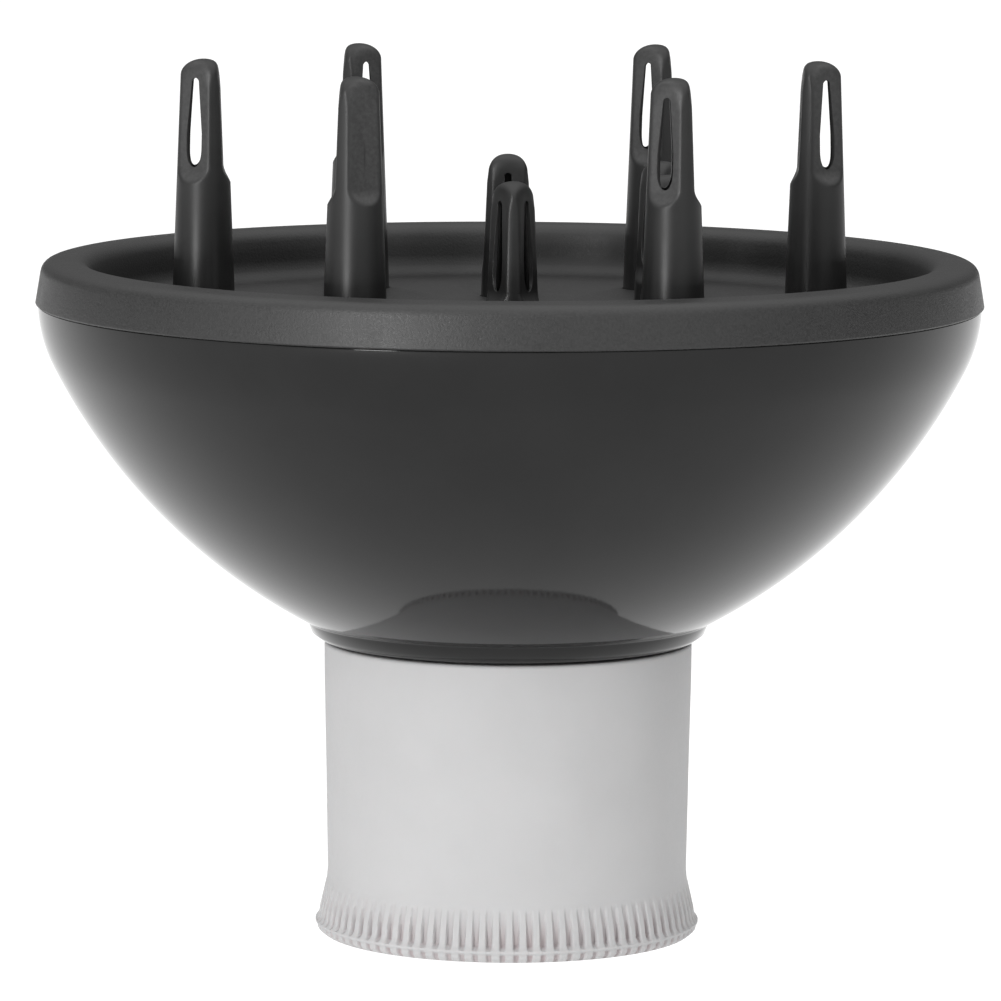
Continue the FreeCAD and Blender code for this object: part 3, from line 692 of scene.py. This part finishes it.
def build_sleeve(material):
    """The silicone sleeve: a smooth wall, and a flared foot of ribs crossed by one thin ring low down."""
    seat, relief, socket = 28.4, 27.95, 27.5
    seat_floor, socket_top, lead, foot = 39.5, 37.6, 1.0, 31.35
    line_half = 0.16
    outline = trace([
        (socket, lead, {"soft": 0.3}),
        (socket + lead, 0.0, {"soft": 0.3}),
        (foot, 0.0, {"soft": 0.5}),
        (LIP - 0.35, 0.75),
        (LIP - 0.25, LINE - 0.35),
        (LIP, LINE - line_half),
        (LIP, LINE + line_half),
        (LIP - 0.22, LINE + 0.4),
        (LIP - 0.6, 3.0),
        (LIP - 0.78, 4.2),
        (LIP - 1.1, 5.6),
        (LIP - 1.42, 7.0),
        (LIP - 1.72, 8.3),
        (LIP - 1.95, 9.3),
        (WAIST + 0.02, WAIST_HEIGHT + 1.2),
        (WAIST + 0.15, 18.0),
        (WAIST + 0.35, 30.0),
        (SLEEVE_WALL - 0.05, 44.0),
        (SLEEVE_WALL, SLEEVE_TOP, {"soft": 0.7}),
        (seat, SLEEVE_TOP, {"soft": 0.4}),
        (seat, seat_floor),
        (relief, seat_floor),
        (relief, socket_top),
        (socket, socket_top),
    ])
    shades = []

    def ribbed(r, z, angle):
        depth, shade = grooves(r, z, angle)
        shades.append(shade)
        return r - depth, z

    verts, faces = lathe(with_more_rows(outline), RIBS * RIB_COLUMNS, shape=ribbed)
    mask, sharp = ("groove", shades[0]), 60.0
    return new_piece("sleeve", verts, faces, "sleeve", material, ["dryer_sleeve"],
                     mask, sharp)


# ---------------------------------------------------------------- pieces that keep their CAD shape
def dress(node, material):
    """Give a CAD node a better material."""
    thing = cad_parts[node]
    if not thing.material_slots:
        thing.data.materials.append(material)
    for place in thing.material_slots:
        place.material = material


# ---------------------------------------------------------------- stage
def build_stage():
    """A wide pale floor, so low that the sleeve can be pulled right off the object above it."""
    recipe = Recipe("floor")
    cloud = recipe.noise(3.0, 3.0, 0.5)
    recipe.set(Base_Color=recipe.tint(cloud, (0.3, 0.41), (0.7, 0.43)))
    recipe.set(Roughness=0.9, Specular_IOR_Level=0.1)
    recipe.set(Emission_Color=grey(1.0), Emission_Strength=0.66)
    mesh = bpy.data.meshes.new("floor")
    half, level = 9.0, -0.0602         # metres
    corners = [(-half, -half, level), (half, -half, level), (half, half, level), (-half, half, level)]
    mesh.from_pydata(corners, [], [(0, 1, 2, 3)])
    mesh.materials.append(recipe.owner)
    floor = bpy.data.objects.new("floor", mesh)
    bpy.context.scene.collection.objects.link(floor)


def softbox(name, place, aim, width, height, power):
    """A rectangular softbox that looks at a point."""
    data = bpy.data.lights.new(name, "AREA")
    data.shape = "RECTANGLE"
    data.size, data.size_y, data.energy = width, height, power
    light = bpy.data.objects.new(name, data)
    light.location = place
    light.rotation_euler = (Vector(aim) - Vector(place)).to_track_quat("-Z", "Y").to_euler()
    bpy.context.scene.collection.objects.link(light)


def build_sky():
    """Soft studio surroundings: white below and overhead, dark at the horizon, most of all on the right."""
    sky = Recipe("studio", world=True)
    across, back, up = sky.add("ShaderNodeSeparateXYZ", Vector=sky.place).outputs
    horizon = sky.tint(sky.spread(across, -1.0, 1.0, 0.0, 1.0), (0.0, 0.11), (0.5, 0.16), (1.0, 0.05))
    height = sky.tint(up, (0.20, 0.0), (0.85, 1.0))
    above = sky.blend(height, horizon, grey(1.0))
    above = sky.blend(sky.spread(back, 0.1, 0.9, 0.0, 0.75), above, grey(0.07))
    below = sky.math("LESS_THAN", up, 0.0)
    sky.feed(sky.shader.inputs["Color"], sky.blend(below, above, grey(1.0)))
    sky.shader.inputs["Strength"].default_value = 1.70
    bpy.context.scene.world = sky.owner


def build_lights():
    """A bright strip and a weak softbox on the left, and a large weak one on the right. Sizes in metres."""
    build_sky()
    softbox("strip_left", (-0.72, -1.14, 0.36), (0.0, 0.0, 0.36), 0.22, 0.68, 9.6)
    softbox("wide_left", (-1.22, -0.44, 0.34), (0.0, 0.0, 0.34), 0.60, 0.50, 0.8)
    softbox("fill_right", (0.90, -1.30, 0.70), (0.0, 0.0, 0.08), 1.4, 1.2, 3.2)
    bpy.context.scene.view_settings.view_transform = "Standard"


def build_camera():
    """A long lens, a little above the rim, and a little to the side of the object's front.

    Distance and height are in metres, lens and sensor in millimetres, angles in degrees.
    """
    distance, height, lens, sensor = 1.2071, 0.2241, 258.1, 36.0
    yaw, pitch, roll, turn = -0.067, 7.103, 0.289, 0.858
    camera = bpy.data.objects.new("camera", bpy.data.cameras.new("camera"))
    camera.data.lens, camera.data.sensor_width = lens, sensor
    camera.data.clip_end = 60.0
    level = Matrix.Rotation(math.radians(90 - pitch), 4, "X")
    aim = Matrix.Rotation(math.radians(-yaw), 4, "Z") @ level @ Matrix.Rotation(math.radians(roll), 4, "Z")
    around = Matrix.Rotation(math.radians(-turn), 4, "Z")
    camera.matrix_world = around @ Matrix.Translation((0.0, -distance, height)) @ aim
    bpy.context.scene.collection.objects.link(camera)
    bpy.context.scene.camera = camera


def build():
    """Build everything around the frame."""
    plate, fingers = plate_matte(), finger_satin()
    build_camera()
    build_bowl(bowl_gloss())
    build_plate(plate)
    for kind, number, angle, ring, base, tip in finger_places():
        shut_flat = SHUT_FLAT if (kind, number) == SHUT_FINGER else None
        build_finger(kind, number, angle, ring, base, tip, fingers, shut_flat)
    build_sleeve(sleeve_silicone())
    dark, steel = inner_matte("inner_matte", 0.022), screw_steel()
    for node in ("finger_retainer", "air_spreader"):
        dress(node, dark)
    dress("swivel_ring", inner_matte("ring_matte", 0.03))
    for node in ("retainer_screws", "spreader_screws"):
        dress(node, steel)
    build_stage()
    build_lights()


build()
